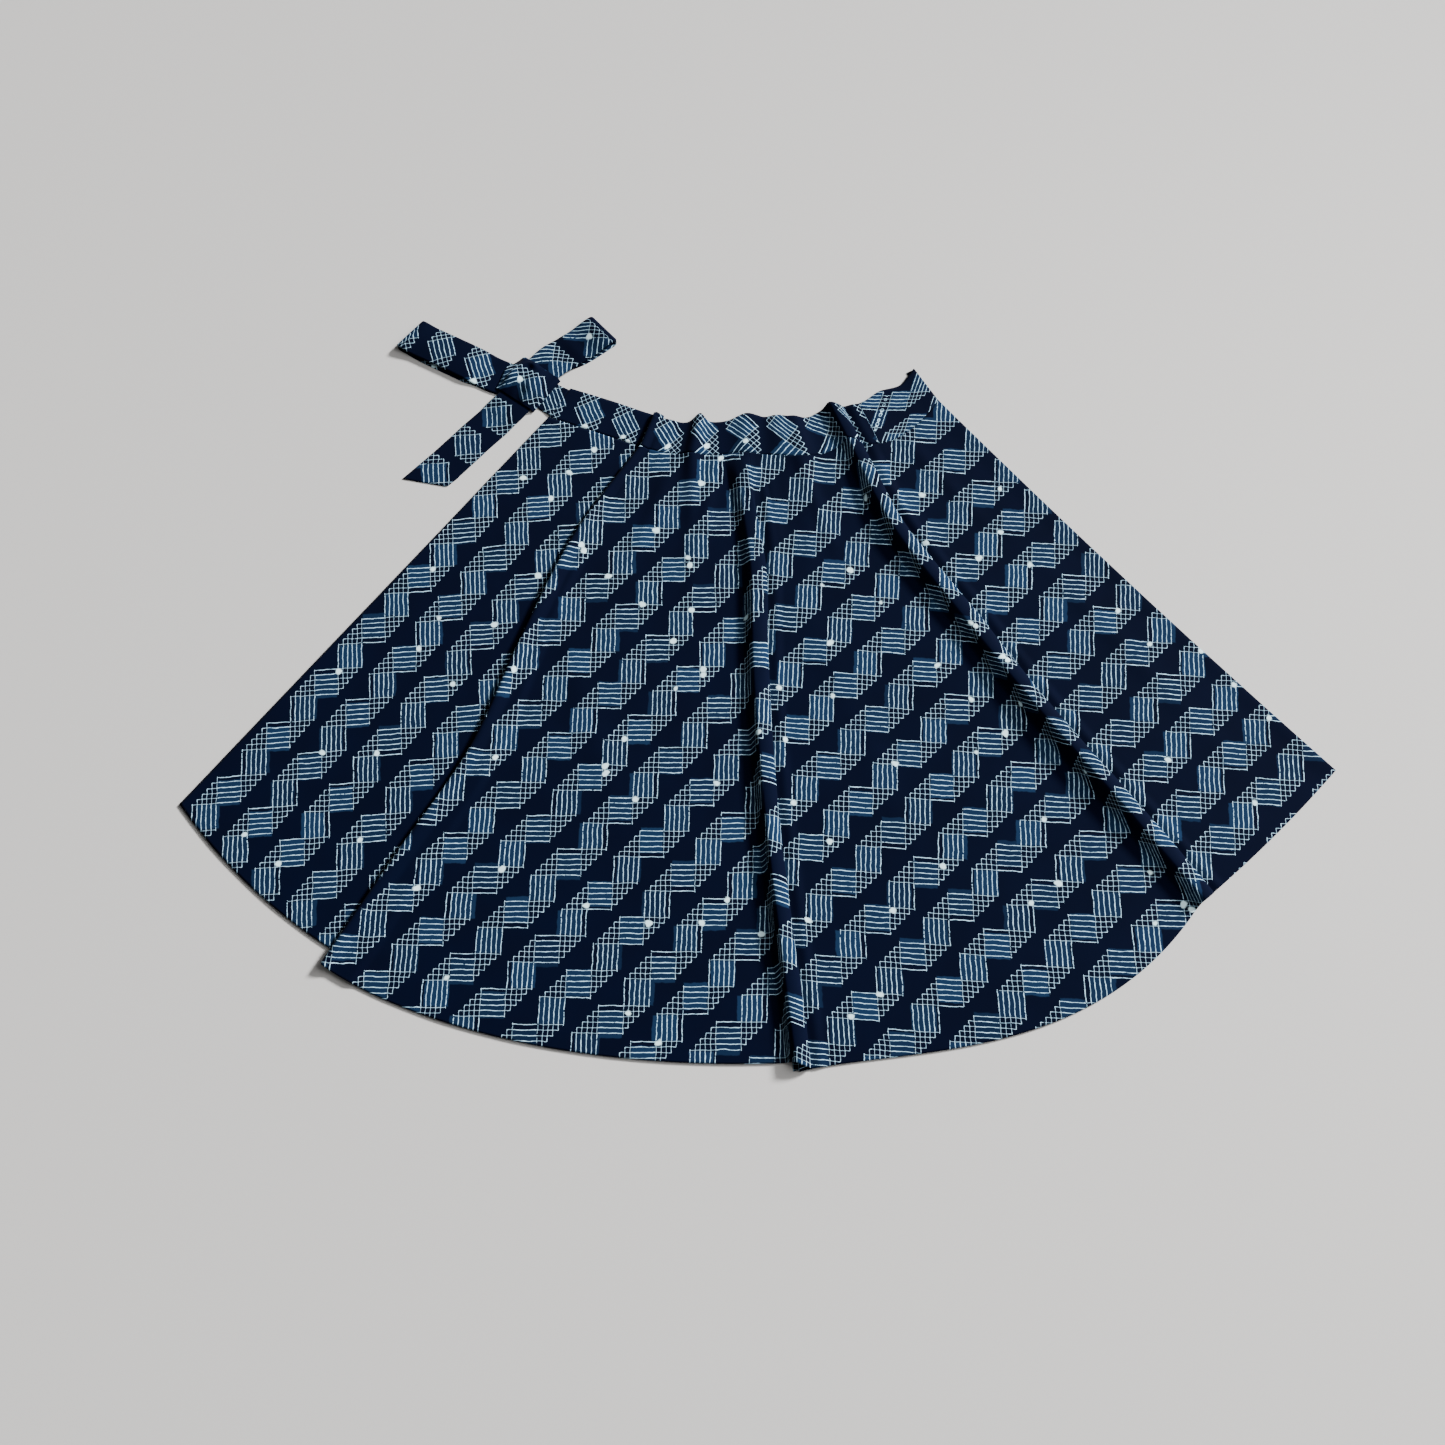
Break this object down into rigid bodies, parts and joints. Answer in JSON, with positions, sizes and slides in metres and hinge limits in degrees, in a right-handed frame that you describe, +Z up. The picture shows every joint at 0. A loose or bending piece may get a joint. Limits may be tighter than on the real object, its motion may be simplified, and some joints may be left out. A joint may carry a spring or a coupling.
{
  "type": "wrap skirt",
  "caption": "Flared cotton wrap skirt laid flat, with a gathered waistband, long soft folds and its ties knotted in a bow at one side.",
  "frame": {"origin": "centre of the bounding box's bottom face, on the surface that the skirt lies on", "axes": "+X across the skirt towards its right side in the picture, +Y from the hem towards the waist, +Z up from the surface"},
  "size_m": [1.6105, 1.1549, 0.0238],
  "materials": {
    "printed_cotton": "matt",
    "printed_cotton_back": "matt"
  },
  "bodies": {
    "root": {"front_panel": "printed_cotton", "back_panel": "printed_cotton_back", "waistband_front": "printed_cotton", "waistband_back": "printed_cotton_back", "tie_strap": "printed_cotton", "bow_loop_left": "printed_cotton", "bow_loop_right": "printed_cotton", "bow_knot": "printed_cotton", "tie_tail": "printed_cotton"}
  },
  "joints": []
}
